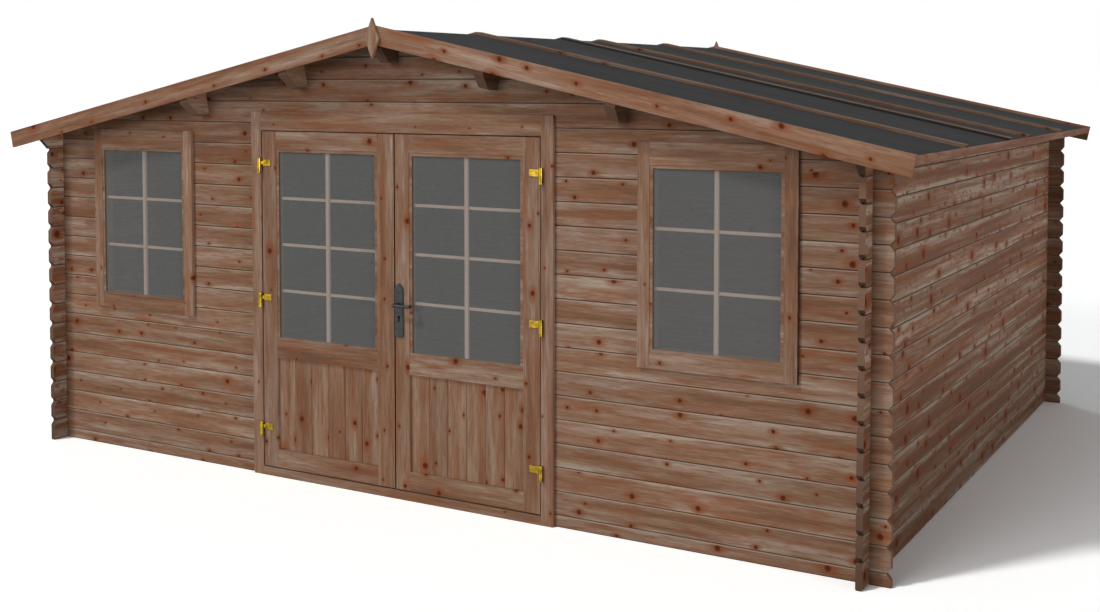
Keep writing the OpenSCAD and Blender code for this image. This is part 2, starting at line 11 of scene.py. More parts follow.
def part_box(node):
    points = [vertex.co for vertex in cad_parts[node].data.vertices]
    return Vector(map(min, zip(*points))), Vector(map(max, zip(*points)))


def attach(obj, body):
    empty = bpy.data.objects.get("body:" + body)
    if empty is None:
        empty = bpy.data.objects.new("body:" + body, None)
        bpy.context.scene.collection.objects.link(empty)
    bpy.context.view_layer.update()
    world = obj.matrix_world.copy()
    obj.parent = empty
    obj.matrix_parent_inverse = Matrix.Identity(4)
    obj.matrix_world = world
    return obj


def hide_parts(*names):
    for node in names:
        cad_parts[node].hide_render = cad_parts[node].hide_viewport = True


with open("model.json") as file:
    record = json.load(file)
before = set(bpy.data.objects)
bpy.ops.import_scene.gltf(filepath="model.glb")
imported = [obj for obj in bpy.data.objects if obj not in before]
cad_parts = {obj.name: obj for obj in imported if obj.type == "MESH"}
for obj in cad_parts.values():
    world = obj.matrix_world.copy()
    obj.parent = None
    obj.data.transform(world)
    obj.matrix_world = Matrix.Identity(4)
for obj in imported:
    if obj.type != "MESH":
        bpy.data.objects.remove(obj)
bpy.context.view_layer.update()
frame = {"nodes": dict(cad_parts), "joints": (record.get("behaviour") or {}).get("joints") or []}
nodes = frame["nodes"]

# Sizes in metres
LOG_PITCH = 0.117
ROOF_PITCH = math.radians(12)
ROOF_BOARD = 0.095
FLOOR_BOARD = 0.113
PANEL_BOARDS = 6
GROOVE = 0.003
FIT = 0.0003
SAME_PLACE = 1e-5

# Glazing bars: width, then front and back measured from the back of the pane
UPRIGHT_BAR = (0.021, 0.0005, 0.0220)
LEVEL_BAR = (0.016, 0.0095, 0.0215)
BAR_ROUND = 0.0015
BAR_TAPER_START = 0.55
BAR_FLAT = 0.45
LEAF_ROWS = 4
WINDOW_ROWS = 3

# Lock: the cylinder fills the keyhole, and a round disc with the key slot stands on its face
KEYHOLE_DROP = 0.066
PLATE_THICK = 0.008
PLUG_RADIUS = 0.0082
PLUG_SLOT = 0.0046
PLUG_FOOT = 0.0242
PLUG_SUNK = 0.0025
PLUG_SIDES = 24
PLUG_FOOT_SIDES = 8
DISC_RADIUS = 0.0058
DISC_SUNK = (0.0012, 0.0026)
KEY_SLOT = 0.0008

# Screws: along a hinge strap from its tail, above the spindle and above the foot of a lock plate
SCREW_RADIUS = 0.0045
STRAP_PAIR = 0.012
STRAP_SINGLE = 0.038
PLATE_SCREW_UP = 0.062
PLATE_SCREW_FOOT = 0.028

# Heads as rings of radius and height, in parts of the head's radius
HEAD_SIDES = 16
DOME = ((1.0, 0.0), (0.92, 0.16), (0.6, 0.30))
NAIL_TOP = ((0.25, 0.36),)
CROSS_RECESS = ((0.34, 0.33), (0.22, 0.10))
CROSS_INSIDE = 0.3
CROSS_ARM = 1.25
CROSS_NOTCH = 0.6

# Nails, and the black fillet along the foot of one batten that is a painted shadow of the gap under it
NAIL_RADIUS = 0.0035
BATTEN_NAILS = 5
FIRST_NAIL = 0.3
BARGE_NAILS_OUT = (0.09, 0.70, 1.37, 2.03, 2.62)
BARGE_NAILS_DOWN = (0.028, 0.070)
FINIAL_NAIL = 0.028
FILLET_WIDTH = 0.014
FILLET_TOP = 0.85
FILLET_BULGE = (0.6, 0.45)

# Photograph's camera: nearly level, with the lens shifted down
CAMERA_PLACE = (4.2318, -7.6977, 2.1403)
CAMERA_TURN = math.radians(30.09)
CAMERA_TILT = math.radians(-2.58)
CAMERA_LENS = 45.10
CAMERA_SENSOR = 36
CAMERA_DROP = -0.145
CAMERA_REACH = 300

# Far lamps: turn from the front towards the right, height, level and apparent width. The key light stands
# where the shadow on the ground puts it, two reach under the eaves, and one lights the sides behind.
KEY_LIGHT = (math.radians(-34.5), math.radians(51), 1.66, math.radians(7))
FRONT_FILL = (math.radians(-18), math.radians(13), 2.02, math.radians(40))
RIGHT_FILL = (math.radians(78), math.radians(2.5), 1.66, math.radians(6))
BACK_FILL = (math.radians(-132), math.radians(5), 2.10, math.radians(15))
LAMP_COLOUR = (1.0, 0.985, 0.96)
SKY_LEVEL = 0.21
WHITE = (1, 1, 1, 1)
GROUND_SIZE = 160
GROUND_LIT = (0.50, 0.50, 0.50, 1)
GROUND_SHOWN = (1.31, 1.34, 1.37, 1)

# Stained pine, from the darkest streak to the palest, as linear colours
STREAK_DARK = (0.113, 0.055, 0.032, 1)
STREAK_MID = (0.167, 0.093, 0.058, 1)
STREAK_LIGHT = (0.200, 0.131, 0.094, 1)
STREAK_PALE = (0.264, 0.205, 0.160, 1)
STAIN_RED = (0.163, 0.058, 0.025, 1)
KNOT_HALO = (0.150, 0.042, 0.013, 1)
KNOT_CORE = (0.062, 0.013, 0.004, 1)
# Painted shade in the log joints and on chamfers that face down
LOG_SHADE = (0.042, 0.022, 0.014, 1)
END_GRAIN = (0.117, 0.069, 0.048, 1)
BAR_WASH = (0.800, 0.610, 0.490, 1)
WOOD_TONES = ((0.32, STREAK_DARK), (0.47, STREAK_MID), (0.60, STREAK_LIGHT), (0.74, STREAK_PALE))

# Grain noise: stretch along, across and into the wood in a metre, detail and roughness
WANDER = ((1.3, 9.0, 9.0), 2.0, 0.5)
BROAD = ((1.1, 15.0, 15.0), 4.0, 0.6)
FIBRE = ((14.0, 190.0, 190.0), 4.0, 0.7)
LATE = ((0.8, 300.0, 300.0), 1.0, 0.5)
STAIN = ((2.4, 20.0, 20.0), 4.0, 0.65)
GRIME = ((5.0, 80.0, 80.0), 3.0, 0.6)
FLECK = ((6.0, 36.0, 36.0), 3.0, 0.6)
RAGGED = ((160, 160, 160), 1.0, 0.5)
WANDER_REACH = 0.024
KNOT_BEND = -0.55

# Tone of the bands and the fibre, and layers over them: noise at the start and at the full, strength, colour
BAND_BASE = 0.27
BAND_DEPTH = 1.05
FIBRE_DEPTH = 0.46
BLEACH_DEPTH = 0.14
RED_LAYER = (0.50, 0.72, 0.8, STAIN_RED)
LATE_LAYER = (0.56, 0.70, 0.30, STREAK_DARK)
GRIME_LAYER = (0.51, 0.68, 0.55, STREAK_DARK)
FLECK_ENDS = (0.53, 0.66)
WORN_LAYER = (0.02, 0.22, 0.28, STREAK_PALE)

# Knots: length and width of the stretch that holds one, least radius and what luck adds to it
KNOT_STRETCH = Vector((0.30, 0.105, 0.0))
KNOT_LEAST = 0.0042
KNOT_MORE = 0.0085
KNOT_SCATTER = 0.95
RAGGED_RANGE = (0.9, 0.55)
CORE_ENDS = (1.3, 0.55)
HALO_ENDS = (2.9, 0.7)
HALO_DRAWN = (0.62, 1.0, 0.0)
HALO_DEPTH = 0.70

# End grain: where the heart may lie, how close the rings are and how dark
HEART_REACH = (0.0, 0.06, 0.1)
RING_RATE = 900.0
RING_DEPTH = 0.14
END_FACING = 0.45

# Pieces of wood: how far apart they are cut from the noise, how light they are as a whole, and the cells
# in a metre, with a start, that give stiles and rails their numbers
PIECE_SHIFT = (23.0, 7.0, 5.0)
PIECE_BASE = 0.94
PIECE_RANGE = 0.20
STILE_CELLS = (2.2, 0.5)
RAIL_CELLS = (2.5, 20.0)

# Logs: shares of painted highlight above and of painted shade below, then where each effect starts and is
# full
LOG_HIGHLIGHT = 0.68
LOG_UNDER_SHADE = 0.82
CHAMFER_ENDS = (0.3, 0.6)
JOINT_ENDS = (0.468, 0.490)
BLEACH_ENDS = (0.20, 0.46)
BLEACH_CLEAR = (0.62, 0.36)
LOW_DARKENING_ENDS = (0.95, 0.10)

# Surface of the wood: relief of fibres and knots, strength and depth of the bump, roughness and shine
FIBRE_RELIEF = 0.8
KNOT_RELIEF = 0.6
WOOD_BUMP = (0.35, 0.0012)
WOOD_ROUGH = (0.25, 0.58)
WOOD_SHINE = 0.06

# Other finishes, darkest and lightest
FELT = ((0.024, 0.024, 0.025, 1), (0.048, 0.048, 0.049, 1))
# Black of the painted shadow along one batten
SHADOW_BLACK_TONES = ((0.003, 0.003, 0.003, 1), (0.009, 0.009, 0.009, 1))
DUSTY_GLASS = ((0.168, 0.170, 0.171, 1), (0.175, 0.177, 0.178, 1))
BRASS = ((0.100, 0.058, 0.004, 1), (0.46, 0.300, 0.030, 1))
BLACK_IRON = ((0.012, 0.013, 0.015, 1), (0.031, 0.033, 0.037, 1))
LOCK_BLACK = ((0.004, 0.004, 0.004, 1), (0.008, 0.008, 0.008, 1))
NAIL_STEEL = ((0.060, 0.045, 0.038, 1), (0.150, 0.125, 0.110, 1))
FELT_CHIPS = 420.0
GLASS_COVER = 0.33


class Graph:
    """Short calls for wiring the nodes of one material or world."""

    def __init__(self, owner):
        owner.use_nodes = True
        self.owner = owner
        self.tree = owner.node_tree
        self.tree.nodes.clear()

    def plug(self, socket, value):
        if isinstance(value, bpy.types.NodeSocket):
            self.tree.links.new(value, socket)
        else:
            socket.default_value = value

    def add(self, kind, inputs=None, **settings):
        node = self.tree.nodes.new(kind)
        for key, value in settings.items():
            setattr(node, key, value)
        for key, value in (inputs or {}).items():
            self.plug(node.inputs[key], value)
        return node

    def math(self, operation, a, b=0.0, c=0.0):
        return self.add("ShaderNodeMath", {0: a, 1: b, 2: c}, operation=operation).outputs[0]

    def vector(self, x, y, z):
        return self.add("ShaderNodeCombineXYZ", {0: x, 1: y, 2: z}).outputs[0]

    def split(self, vector):
        return self.add("ShaderNodeSeparateXYZ", {0: vector}).outputs

    def vmath(self, operation, a, b=(0, 0, 0)):
        return self.add("ShaderNodeVectorMath", {0: a, 1: b}, operation=operation).outputs[0]

    def length(self, vector):
        return self.add("ShaderNodeVectorMath", {0: vector}, operation="LENGTH").outputs["Value"]

    def dot(self, a, b):
        return self.add("ShaderNodeVectorMath", {0: a, 1: b}, operation="DOT_PRODUCT").outputs["Value"]

    def noise(self, vector, stretch, detail=2.0, rough=0.5):
        scaled = self.vmath("MULTIPLY", vector, stretch)
        inputs = {"Vector": scaled, "Scale": 1.0, "Detail": detail, "Roughness": rough}
        return self.add("ShaderNodeTexNoise", inputs).outputs["Fac"]

    def ease(self, value, low, high):
        """0 at low and 1 at high, smoothly; low may be the larger."""
        flipped = low > high
        ends = (high, low) if flipped else (low, high)
        inputs = {"Value": value, "From Min": ends[0], "From Max": ends[1]}
        if flipped:
            inputs.update({"To Min": 1.0, "To Max": 0.0})
        return self.add("ShaderNodeMapRange", inputs, interpolation_type="SMOOTHSTEP").outputs[0]

    def mix(self, fraction, a, b, blend="MIX"):
        """Colour a where fraction is 0 and b where it is 1; the node's colours are sockets 6, 7 and 2."""
        node = self.add("ShaderNodeMix", data_type="RGBA", blend_type=blend)
        for socket, value in zip((node.inputs[0], node.inputs[6], node.inputs[7]), (fraction, a, b)):
            self.plug(socket, value)
        return node.outputs[2]

    def layer(self, base, value, low, high, strength, colour):
        """Colour laid over base as value goes from low to high."""
        return self.mix(self.math("MULTIPLY", self.ease(value, low, high), strength), base, colour)

    def either(self, fraction, a, b):
        """Number a where fraction is 0 and b where it is 1."""
        node = self.add("ShaderNodeMix", {0: fraction, 2: a, 3: b}, data_type="FLOAT")
        return node.outputs[0]

    def ramp(self, value, *stops):
        node = self.add("ShaderNodeValToRGB", {"Fac": value})
        elements = node.color_ramp.elements
        while len(elements) < len(stops):
            elements.new(0.5)
        for element, (place, colour) in zip(elements, stops):
            element.position = place
            element.color = colour
        return node.outputs[0]

    def place(self):
        return self.add("ShaderNodeTexCoord").outputs["Object"]

    def normal(self):
        return self.add("ShaderNodeNewGeometry").outputs["True Normal"]

    def local_normal(self):
        return self.add("ShaderNodeVectorTransform", {0: self.normal()}, vector_type="NORMAL",
                        convert_from="WORLD", convert_to="OBJECT").outputs[0]

    def rounded(self, radius):
        return self.add("ShaderNodeBevel", {"Radius": radius}, samples=4).outputs[0]

    def bump(self, height, strength, distance, normal=None):
        inputs = {"Height": height, "Strength": strength, "Distance": distance}
        if normal is not None:
            inputs["Normal"] = normal
        return self.add("ShaderNodeBump", inputs).outputs[0]

    def shown(self):
        """1 for rays that show the background: straight from the camera, mirrored or through glass."""
        path = self.add("ShaderNodeLightPath").outputs
        mirrored = self.math("MAXIMUM", path["Is Glossy Ray"], path["Is Transmission Ray"])
        return self.math("MAXIMUM", path["Is Camera Ray"], mirrored)

    def surface(self, inputs):
        """The finished material, with one shader that takes the inputs given."""
        return self.finish(self.add("ShaderNodeBsdfPrincipled", inputs).outputs[0])

    def finish(self, shader):
        self.add("ShaderNodeOutputMaterial", {"Surface": shader})
        return self.owner


def new_graph(name):
    return Graph(bpy.data.materials.new(name))


# Timber


def grain_axes(g, place, along):
    """Coordinates along the grain, across it and into the piece, and the grain's direction."""
    x, y, z = g.split(place)
    if along == "x":
        return x, z, y, (1, 0, 0)
    if along == "y":
        return y, z, x, (0, 1, 0)
    if along == "z":
        return z, x, y, (0, 0, 1)
    side = g.math("ABSOLUTE", x)
    level = g.math("MULTIPLY_ADD", side, math.tan(ROOF_PITCH), z)
    return side, level, y, (math.cos(ROOF_PITCH), 0, 0)


def joinery_axes(g, place, rails):
    """As grain_axes, for upright stiles and level rails, with a number for each piece.

    The rails lie where |x| is between the two ends given.
    """
    x, y, z = g.split(place)
    side = g.math("ABSOLUTE", x)
    past_stile = g.math("GREATER_THAN", side, rails[0])
    is_rail = g.math("MULTIPLY", past_stile, g.math("LESS_THAN", side, rails[1]))
    along = g.either(is_rail, z, x)
    across = g.either(is_rail, x, z)
    stile = g.math("FLOOR", g.math("MULTIPLY_ADD", x, *STILE_CELLS))
    rail = g.math("FLOOR", g.math("MULTIPLY_ADD", z, *RAIL_CELLS))
    direction = g.vector(is_rail, 0.0, g.math("SUBTRACT", 1.0, is_rail))
    return along, across, y, direction, g.either(is_rail, stile, rail)


def board_places(g, place, boards):
    """Which board a point is on and how far from its middle; boards is (axis, width, phase)."""
    axis, width, phase = boards
    across = g.math("MULTIPLY_ADD", g.split(place)["xyz".index(axis)], 1 / width, phase)
    number = g.math("FLOOR", across)
    from_middle = g.math("ABSOLUTE", g.math("SUBTRACT", g.math("SUBTRACT", across, number), 0.5))
    return number, from_middle


def knot_pattern(g, spot, share, grow):
    """Knots, about one to a stretch of board: the core, the halo round it and the way from its middle."""
    grid = g.vmath("MULTIPLY", spot, (1 / KNOT_STRETCH.x, 1 / KNOT_STRETCH.y, 0.0))
    knots = g.add("ShaderNodeTexVoronoi", {"Vector": grid, "Scale": 1.0, "Randomness": KNOT_SCATTER},
                  voronoi_dimensions="2D")
    away = g.vmath("MULTIPLY", g.vmath("SUBTRACT", grid, knots.outputs["Position"]), KNOT_STRETCH)
    luck, size, _ = g.split(knots.outputs["Color"])
    present = g.math("LESS_THAN", luck, share)
    radius = g.math("MULTIPLY_ADD", g.math("POWER", size, 2.0), KNOT_MORE * grow, KNOT_LEAST * grow)
    ragged = g.math("MULTIPLY_ADD", g.noise(spot, *RAGGED), *RAGGED_RANGE)
    reach = g.math("DIVIDE", g.length(away), g.math("MULTIPLY", radius, ragged))
    core = g.math("MULTIPLY", g.ease(reach, *CORE_ENDS), present)
    stretched = g.length(g.vmath("MULTIPLY", away, HALO_DRAWN))
    halo = g.math("MULTIPLY", g.ease(g.math("DIVIDE", stretched, radius), *HALO_ENDS), present)
    return core, halo, away


def streaks(g, spot, halo, away, length):
    """Grain that bends round the knots: broad bands, fibres, late wood, red stain, grime and flecks."""
    bend = g.math("MULTIPLY", g.math("MULTIPLY", g.split(away)[1], halo), KNOT_BEND)
    flow = g.vmath("ADD", spot, g.vector(0.0, bend, 0.0))
    wander = g.math("MULTIPLY_ADD", g.noise(flow, *WANDER), WANDER_REACH, -WANDER_REACH / 2)
    flow = g.vmath("ADD", flow, g.vector(0.0, wander, 0.0))
    flow = g.vmath("MULTIPLY", flow, (1 / length, 1.0, 1.0))
    grain = [g.noise(flow, *kind) for kind in (BROAD, FIBRE, LATE, STAIN, GRIME)]
    (along, across, into), detail, rough = FLECK
    fleck = g.noise(spot, (along * length, across, into), detail, rough)
    return (*grain, fleck)


def pine(g, grain, core, halo, contrast, flecks, log_edge):
    """Colour of the wood along the grain; log_edge, for logs only, is the way from the log's middle."""
    broad, fibre, late, stain, grime, fleck = grain
    depth = BAND_DEPTH * contrast
    bands = g.math("MULTIPLY_ADD", broad, depth, BAND_BASE - depth / 2)
    tone = g.math("MULTIPLY_ADD", fibre, FIBRE_DEPTH, bands)
    if log_edge is not None:
        bleached = g.math("MULTIPLY", g.ease(log_edge, *BLEACH_ENDS), g.ease(stain, *BLEACH_CLEAR))
        tone = g.math("MULTIPLY_ADD", bleached, BLEACH_DEPTH * contrast, tone)
    wood = g.ramp(tone, *WOOD_TONES)
    wood = g.layer(wood, stain, *RED_LAYER)
    wood = g.layer(wood, late, *LATE_LAYER)
    wood = g.layer(wood, grime, *GRIME_LAYER)
    wood = g.layer(wood, fleck, *FLECK_ENDS, flecks, KNOT_HALO)
    wood = g.mix(g.math("MULTIPLY", halo, HALO_DEPTH), wood, KNOT_HALO)
    return g.mix(core, wood, KNOT_CORE)


def end_grain(g, v, w, own):
    """Rings round a heart that lies outside the piece."""
    heart = g.vmath("ADD", g.vector(0.0, v, w), g.vmath("MULTIPLY", own, HEART_REACH))
    from_heart = g.length(g.vmath("MULTIPLY", heart, (0, 1, 1)))
    rings = g.math("SINE", g.math("MULTIPLY", from_heart, RING_RATE))
    return g.mix(g.math("MULTIPLY_ADD", rings, RING_DEPTH, RING_DEPTH), END_GRAIN, STREAK_DARK)


def piece_shade(g, place, luck, paint, low_darkening):
    """How light a piece of wood is as a whole, and darker towards the ground."""
    shade = g.math("MULTIPLY_ADD", luck, PIECE_RANGE, PIECE_BASE * paint)
    if low_darkening:
        low = g.ease(g.split(place)[2], *LOW_DARKENING_ENDS)
        shade = g.math("MULTIPLY", shade, g.math("MULTIPLY_ADD", low, -low_darkening, 1.0))
    return g.vector(shade, shade, shade)


def log_light_and_shade(g, wood, up, log_edge, is_end, joint_shade_depth):
    """Painted highlight on chamfers that face up, and painted shade on those that face down and in the
    joints.
    """
    start, full = CHAMFER_ENDS
    highlight_share = g.math("MULTIPLY_ADD", is_end, -LOG_HIGHLIGHT, LOG_HIGHLIGHT)
    wood = g.mix(g.math("MULTIPLY", g.ease(up, start, full), highlight_share), wood, STREAK_PALE)
    joint = g.math("MULTIPLY", g.ease(log_edge, *JOINT_ENDS), g.math("SUBTRACT", 1.0, is_end))
    under = g.math("MULTIPLY", g.ease(up, -start, -full), LOG_UNDER_SHADE)
    return g.mix(g.math("MAXIMUM", under, g.math("MULTIPLY", joint, joint_shade_depth)), wood, LOG_SHADE)


def timber(name, along="x", seed=0.0, boards=None, rails=None, hands=False, knots=0.72, grow=1.0,
           paint=1.0, tint=None, wash=0.0, length=1.0, contrast=1.0, flecks=0.25, low_darkening=0.0, is_log=False,
           joint_shade_depth=0.25, bevel=0.0018):
    """Stained pine with streaks, knots, red stain, worn edges and end grain.

    boards cuts the wood into pieces of its own across an axis, rails does so for a frame of stiles and
    rails, and hands gives the left and the right side wood of their own. knots is the share of stretches
    with a knot and grow makes the knots larger. length draws the grain out and contrast deepens its bands.
    damp makes the wood darker towards the ground. A log is bleached near its upper and lower edge, with a
    painted highlight on chamfers that face up and painted shade on those that face down; crevice is how dark
    the painted shade in the joint itself is.
    """
    g = new_graph(name)
    place = g.place()
    number = 0.0
    from_middle = None
    if rails:
        u, v, w, direction, number = joinery_axes(g, place, rails)
    else:
        u, v, w, direction = grain_axes(g, place, along)
    if boards:
        number, from_middle = board_places(g, place, boards)
    log_edge = from_middle if is_log else None
    hand = g.math("SIGN", g.split(place)[0]) if hands else 0.0
    chance = g.add("ShaderNodeTexWhiteNoise", {"Vector": g.vector(number, seed, hand)},
                   noise_dimensions="3D")
    own = chance.outputs["Color"]
    spot = g.vmath("ADD", g.vector(u, v, w), g.vmath("MULTIPLY", own, PIECE_SHIFT))

    core, halo, away = knot_pattern(g, spot, knots, grow)
    grain = streaks(g, spot, halo, away, length)
    wood = pine(g, grain, core, halo, contrast, flecks, log_edge)
    local = g.local_normal()
    is_end = g.math("GREATER_THAN", g.math("ABSOLUTE", g.dot(local, direction)), END_FACING)
    wood = g.mix(is_end, wood, end_grain(g, v, w, own))
    if wash:
        wood = g.mix(wash, wood, BAR_WASH)
    if tint:
        wood = g.mix(1.0, wood, tint, "MULTIPLY")
    wood = g.mix(1.0, wood, piece_shade(g, place, chance.outputs["Value"], paint, low_darkening), "MULTIPLY")
    # Logs get a painted highlight on chamfers that face up, and painted shade on those that face down and in
    # the joints
    if is_log:
        wood = log_light_and_shade(g, wood, g.split(local)[2], log_edge, is_end, joint_shade_depth)
    edge = g.rounded(bevel)
    worn = g.math("SUBTRACT", 1.0, g.dot(edge, g.normal()))
    wood = g.layer(wood, worn, *WORN_LAYER)

    fibre = grain[1]
    height = g.math("MULTIPLY_ADD", fibre, FIBRE_RELIEF, g.math("MULTIPLY", core, KNOT_RELIEF))
    rough = g.math("MULTIPLY_ADD", fibre, *WOOD_ROUGH)
    return g.surface({"Base Color": wood, "Roughness": rough, "Normal": g.bump(height, *WOOD_BUMP, edge),
                      "Specular IOR Level": WOOD_SHINE})


def board_count(start, end, width):
    """How many boards of about this width lie side by side."""
    return round((end - start) / width)


def board_cut(axis, start, end, count):
    """Cuts between equal boards for timber: the axis across them, a board's width and the phase."""
    width = (end - start) / count
    return axis, width, -start / width


# Other finishes


def roofing_felt():
    """Mineral-faced felt: fine chips, faint roller bands and weather streaks down the slope."""
    g = new_graph("roofing_felt")
    place = g.place()
    chips = g.add("ShaderNodeTexVoronoi", {"Vector": place, "Scale": FELT_CHIPS})
    speck = g.split(chips.outputs["Color"])[0]
    clouds = g.noise(place, (1.5, 4.0, 1.5), 4.0, 0.6)
    runs = g.noise(place, (0.8, 22.0, 0.8), 2.0)
    tone = g.math("MULTIPLY_ADD", clouds, 0.55, g.math("MULTIPLY", runs, 0.25))
    tone = g.math("MULTIPLY_ADD", speck, 0.22, tone)
    colour = g.ramp(tone, (0.25, FELT[0]), (0.85, FELT[1]))
    return g.surface({"Base Color": colour, "Roughness": 0.92, "Normal": g.bump(speck, 0.5, 0.0012),
                      "Specular IOR Level": 0.04})


def shadow_black():
    """Black for a painted shadow, smeared and a little shiny."""
    g = new_graph("shadow_black")
    smear = g.noise(g.place(), (9.0, 60.0, 60.0), 4.0, 0.6)
    colour = g.ramp(smear, (0.3, SHADOW_BLACK_TONES[0]), (0.75, SHADOW_BLACK_TONES[1]))
    rough = g.math("MULTIPLY_ADD", smear, 0.4, 0.35)
    return g.surface({"Base Color": colour, "Roughness": rough, "Normal": g.bump(smear, 0.6, 0.003),
                      "Specular IOR Level": 0.08})


def pane():
    """Grey glass with a faint film of dust that half hides the room and takes the shine."""
    g = new_graph("window_glass")
    film = g.noise(g.place(), (3.0, 3.0, 1.5), 3.0, 0.5)
    colour = g.ramp(film, (0.35, DUSTY_GLASS[0]), (0.75, DUSTY_GLASS[1]))
    return g.surface({"Base Color": colour, "Roughness": 0.1, "IOR": 1.45, "Alpha": GLASS_COVER,
                      "Specular IOR Level": 0.0})


def metal(name, tones, rough, metallic, gloss=0.5, bevel=0.0012):
    """Handled metal: blotches, fine scratches and rounded edges."""
    g = new_graph(name)
    place = g.place()
    blotch = g.noise(place, (35.0, 35.0, 35.0), 4.0, 0.6)
    scratch = g.noise(place, (60.0, 900.0, 220.0), 2.0)
    tone = g.math("MULTIPLY_ADD", scratch, 0.3, g.math("MULTIPLY", blotch, 0.8))
    colour = g.ramp(tone, (0.35, tones[0]), (0.72, tones[1]))
    height = g.math("MULTIPLY_ADD", scratch, 0.3, blotch)
    bump = g.bump(height, 0.12, 0.0006, g.rounded(bevel))
    finish = g.math("MULTIPLY_ADD", blotch, 0.2, rough - 0.1)
    return g.surface({"Base Color": colour, "Roughness": finish, "Metallic": metallic, "Normal": bump,
                      "Specular IOR Level": gloss})


# Shapes


def new_piece(name, mesh_maker, material, body):
    """A mesh object, made by mesh_maker(bm), that rides on a body."""
    bm = bmesh.new()
    mesh_maker(bm)
    bmesh.ops.recalc_face_normals(bm, faces=bm.faces)
    mesh = bpy.data.meshes.new(name)
    bm.to_mesh(mesh)
    bm.free()
    piece = bpy.data.objects.new(name, mesh)
    bpy.context.scene.collection.objects.link(piece)
    mesh.materials.append(material)
    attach(piece, body)
    return piece


def node_points(node):
    return [v.co for v in nodes[node].data.vertices]


def prism(bm, starts, ends):
    """Closed bar between two matching outlines of points."""
    low = [bm.verts.new(p) for p in starts]
    high = [bm.verts.new(p) for p in ends]
    count = len(low)
    for i in range(count):
        j = (i + 1) % count
        bm.faces.new((low[i], low[j], high[j], high[i]))
    bm.faces.new(low[::-1])
    bm.faces.new(high)


def grooved_outline(start, end, count, face, back, grooved_back=False):
    """Outline of tongued boards side by side: V grooves on the face, and on the back if asked."""
    step = (end - start) / count
    into = GROOVE if back > face else -GROOVE
    front = [(start, face)]
    for i in range(1, count):
        middle = start + i * step
        front += [(middle - GROOVE, face), (middle, face + into), (middle + GROOVE, face)]
    front.append((end, face))
    rear = [(end, back)]
    if grooved_back:
        for i in range(count - 1, 0, -1):
            middle = start + i * step
            rear += [(middle + GROOVE, back), (middle, back - into), (middle - GROOVE, back)]
    rear.append((start, back))
    return front + rear


def bar_profile(size):
    """Moulded bar as pairs across and back: small rounds in front, a taper to a flat behind."""
    width, front, back = size
    half = width / 2
    flat = half * BAR_FLAT
    taper = front + (back - front) * BAR_TAPER_START
    return [(-half, front + BAR_ROUND), (BAR_ROUND - half, front), (half - BAR_ROUND, front),
            (half, front + BAR_ROUND), (half, taper), (flat, back), (-flat, back), (-half, taper)]


def glazing_bars(opening, pane_back, rows):
    """Bars behind a pane: one upright, and level bars that stop against it."""
    low, high = opening
    middle = (low.x + high.x) / 2
    upright = [(middle + a, pane_back + b) for a, b in bar_profile(UPRIGHT_BAR)]
    level = [(a, pane_back + b) for a, b in bar_profile(LEVEL_BAR)]
    half = UPRIGHT_BAR[0] / 2

    def make(bm):
        prism(bm, [(x, y, low.z) for x, y in upright], [(x, y, high.z) for x, y in upright])
        for row in range(1, rows):
            z = low.z + (high.z - low.z) * row / rows
            for x0, x1 in ((low.x, middle - half), (middle + half, high.x)):
                prism(bm, [(x0, y, z + a) for a, y in level], [(x1, y, z + a) for a, y in level])

    return make


def clear_opening(beads):
    """Lowest and highest corner of the opening inside a ring of beads."""
    low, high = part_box(beads)
    middle = (low + high) / 2
    points = node_points(beads)
    reach_x = min(abs(p.x - middle.x) for p in points)
    reach_z = min(abs(p.z - middle.z) for p in points)
    reach = Vector((reach_x, 0, reach_z))
    return middle - reach, middle + reach


def panel_boards(node):
    """Upright tongued boards in place of a leaf's lower panel."""
    low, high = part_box(node)
    outline = grooved_outline(low.x, high.x, PANEL_BOARDS, low.y, high.y, grooved_back=True)
    return lambda bm: prism(bm, [(x, y, low.z) for x, y in outline], [(x, y, high.z) for x, y in outline])


def floor_deck(node):
    """Floor boards along the front, grooved on top."""
    low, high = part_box(node)
    count = board_count(low.y, high.y, FLOOR_BOARD)
    outline = grooved_outline(low.y, high.y, count, high.z, low.z)
    return lambda bm: prism(bm, [(low.x, y, z) for y, z in outline], [(high.x, y, z) for y, z in outline])


def roof_deck(node):
    """Roof boards down the slope, grooved on the underside, cut upright at the ridge."""
    low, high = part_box(node)
    side = -1 if low.x + high.x < 0 else 1
    points = node_points(node)
    ridge_x = min(abs(p.x) for p in points)
    ridge = sorted({round(p.z, 6) for p in points if abs(abs(p.x) - ridge_x) < SAME_PLACE})
    eave_low = min(points, key=lambda p: p.z)
    thick = (ridge[-1] - ridge[0]) * math.cos(ROOF_PITCH)
    normal = Vector((side * math.sin(ROOF_PITCH), 0, math.cos(ROOF_PITCH)))
    count = board_count(low.y, high.y, ROOF_BOARD)
    outline = grooved_outline(low.y, high.y, count, 0.0, thick)

    def make(bm):
        top = [(side * ridge_x, y, ridge[0] + n / math.cos(ROOF_PITCH)) for y, n in outline]
        foot = [Vector((eave_low.x, y, eave_low.z)) + normal * n for y, n in outline]
        prism(bm, top, foot)

    return make


def head_ring(radius, height, cross):
    """Points of one ring of a head; the rings inside a cross recess have four arms."""
    spots = []
    for i in range(HEAD_SIDES):
        angle = math.tau * i / HEAD_SIDES
        wide = radius
        if cross and radius <= CROSS_INSIDE:
            wide = radius * (CROSS_ARM if i % 4 == 0 else CROSS_NOTCH)
        spots.append(Vector((math.cos(angle) * wide, math.sin(angle) * wide, height)))
    return spots


